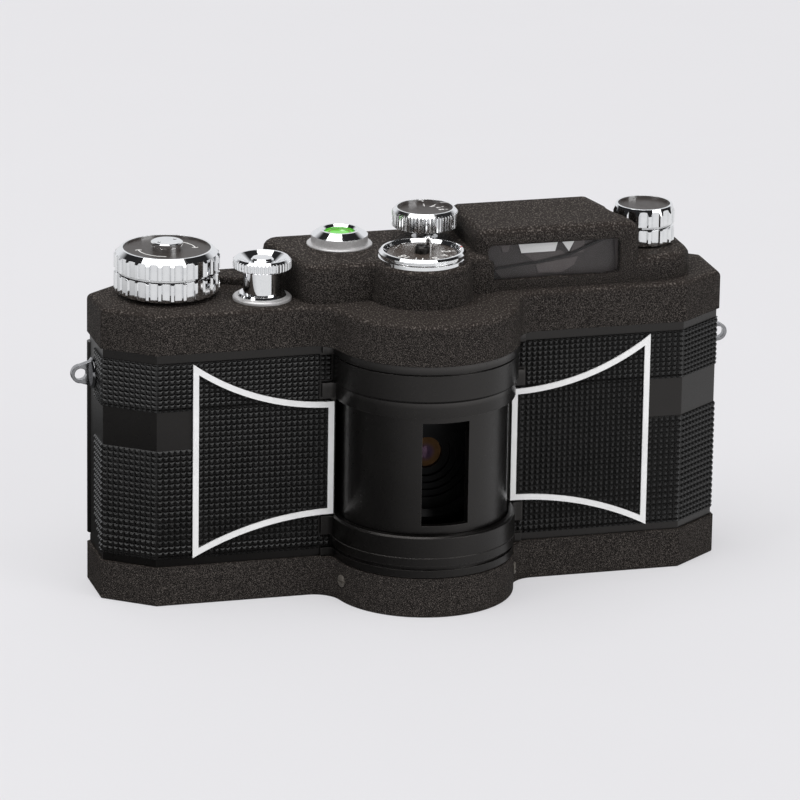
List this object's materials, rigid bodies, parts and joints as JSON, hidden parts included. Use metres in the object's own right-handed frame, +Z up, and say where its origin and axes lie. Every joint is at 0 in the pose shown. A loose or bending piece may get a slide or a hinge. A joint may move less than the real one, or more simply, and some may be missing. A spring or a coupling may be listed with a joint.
{
  "type": "panoramic camera",
  "caption": "Swing-lens panoramic film camera: an eight-sided black body with a rotating lens drum, chrome knobs on top, a wide viewfinder, a spirit level and a hinged back.",
  "frame": {"origin": "on the drum axis at the mouth of the tripod socket, in the base plane", "axes": "+X to the right seen from the front, along the width; the front faces -Y; +Z up"},
  "size_m": [0.1546, 0.0528, 0.0843],
  "materials": {
    "crinkle_paint": "crinkle paint, near black",
    "satin_black": "satin black",
    "leatherette": "embossed with small pyramids",
    "white_trim": "semi-gloss white",
    "chrome": "polished",
    "steel": "turned",
    "brass": "turned",
    "dial_black": "semi-gloss black disc",
    "finder_glass": "clear, polished",
    "lens_glass": "coated, polished",
    "level_green": "green filled vial",
    "spool_black": "moulded black"
  },
  "bodies": {
    "camera_body": {"body_casting": "satin_black", "top_cover": "crinkle_paint", "base_cover": "crinkle_paint", "upper_front_ring": "satin_black", "lower_front_ring": "satin_black", "film_gate": "satin_black", "covering_left": "leatherette", "covering_right": "leatherette", "trim_frame_left": "white_trim", "trim_frame_right": "white_trim", "strap_lug_left": "chrome", "strap_lug_right": "chrome", "tripod_bush": "steel", "base_screws": "steel", "viewfinder_front_lens": "finder_glass", "viewfinder_rear_lens": "finder_glass", "eyepiece_frame": "satin_black", "level_bezel": "chrome", "level_vial": "level_green", "release_collar": "chrome", "dial_bezel": "chrome", "drum_upper_bearing": "brass", "drum_lower_bearing": "brass", "hinge_pin": "steel", "advance_bush": "satin_black", "governor_bridge": "brass"},
    "drum": {"drum_shell": "satin_black", "drum_cap": "satin_black", "lens_barrel": "satin_black", "front_lens": "lens_glass", "rear_lens": "lens_glass", "slit_chute": "satin_black", "drum_gear": "brass"},
    "iris": {"iris_ring": "steel"},
    "governor": {"governor_wheel": "brass"},
    "advance": {"advance_knob": "chrome", "advance_knob_disc": "dial_black", "advance_knob_stud": "chrome", "advance_shaft": "steel", "take_up_spool": "spool_black", "advance_gear": "brass"},
    "sprocket": {"film_sprocket": "steel", "sprocket_gear": "brass"},
    "release": {"release_button": "chrome"},
    "aperture": {"aperture_disc": "dial_black", "aperture_pin": "chrome", "aperture_screw": "steel"},
    "speed": {"speed_knob": "chrome", "speed_knob_disc": "dial_black", "speed_post": "steel"},
    "rewind_slider": {"rewind_sleeve": "brass"},
    "rewind": {"rewind_knob": "chrome", "rewind_knob_disc": "dial_black", "rewind_shaft": "steel"},
    "door": {"back_door": "satin_black", "back_covering": "leatherette"},
    "latch": {"door_latch": "chrome"},
    "roller_left": {"guide_roller_left": "steel"},
    "roller_right": {"guide_roller_right": "steel"},
    "rewind_release": {"rewind_release_button": "chrome"}
  },
  "joints": [
    {"name": "drum_swing", "type": "hinge", "parent": "camera_body", "child": "drum", "pos_m": [0, 0, 0], "axis": [0, 0, 1], "range_deg": [-70, 70]},
    {"name": "governor_spin", "type": "hinge", "parent": "camera_body", "child": "governor", "pos_m": [-0.008, 0.01386, 0], "axis": [0, 0, 1], "range_deg": [-211, 211]},
    {"name": "iris_turn", "type": "hinge", "parent": "drum", "child": "iris", "pos_m": [0, 0, 0.03305], "axis": [0, 1, 0], "range_deg": [-62, 62]},
    {"name": "advance_turn", "type": "hinge", "parent": "camera_body", "child": "advance", "pos_m": [-0.0552, 0.0182, 0], "axis": [0, 0, 1], "continuous": true},
    {"name": "sprocket_turn", "type": "hinge", "parent": "camera_body", "child": "sprocket", "pos_m": [-0.0365, 0.0182, 0], "axis": [0, 0, 1], "continuous": true},
    {"name": "release_press", "type": "slide", "parent": "camera_body", "child": "release", "axis": [0, 0, -1], "range_m": [0, 0.002], "stiffness_N_per_m": 400, "springref_m": -0.001},
    {"name": "aperture_turn", "type": "hinge", "parent": "camera_body", "child": "aperture", "pos_m": [0, 0.0034, 0], "axis": [0, 0, 1], "range_deg": [-60, 60]},
    {"name": "speed_turn", "type": "hinge", "parent": "camera_body", "child": "speed", "pos_m": [0.0049, 0.0189, 0], "axis": [0, 0, 1], "range_deg": [-60, 60]},
    {"name": "rewind_lift", "type": "slide", "parent": "camera_body", "child": "rewind_slider", "axis": [0, 0, 1], "range_m": [0, 0.007]},
    {"name": "rewind_turn", "type": "hinge", "parent": "rewind_slider", "child": "rewind", "pos_m": [0.0563, 0.0169, 0], "axis": [0, 0, 1], "continuous": true},
    {"name": "door_swing", "type": "hinge", "parent": "camera_body", "child": "door", "pos_m": [-0.0709, 0.0232, 0], "axis": [0, 0, 1], "range_deg": [0, 110]},
    {"name": "latch_slide", "type": "slide", "parent": "camera_body", "child": "latch", "axis": [0, 0, 1], "range_m": [0, 0.004]},
    {"name": "roller_left_turn", "type": "hinge", "parent": "camera_body", "child": "roller_left", "pos_m": [-0.02819, 0.01026, 0], "axis": [0, 0, 1], "continuous": true},
    {"name": "roller_right_turn", "type": "hinge", "parent": "camera_body", "child": "roller_right", "pos_m": [0.02819, 0.01026, 0], "axis": [0, 0, 1], "continuous": true},
    {"name": "rewind_release_press", "type": "slide", "parent": "camera_body", "child": "rewind_release", "axis": [0, 0, 1], "range_m": [0, 0.0015], "stiffness_N_per_m": 300, "springref_m": -0.001}
  ],
  "couplings": [
    {"joint": "governor_spin", "follows": "drum_swing", "ratio": -3},
    {"joint": "sprocket_turn", "follows": "advance_turn", "ratio": -1},
    {"joint": "iris_turn", "follows": "aperture_turn", "ratio": 0.5}
  ]
}
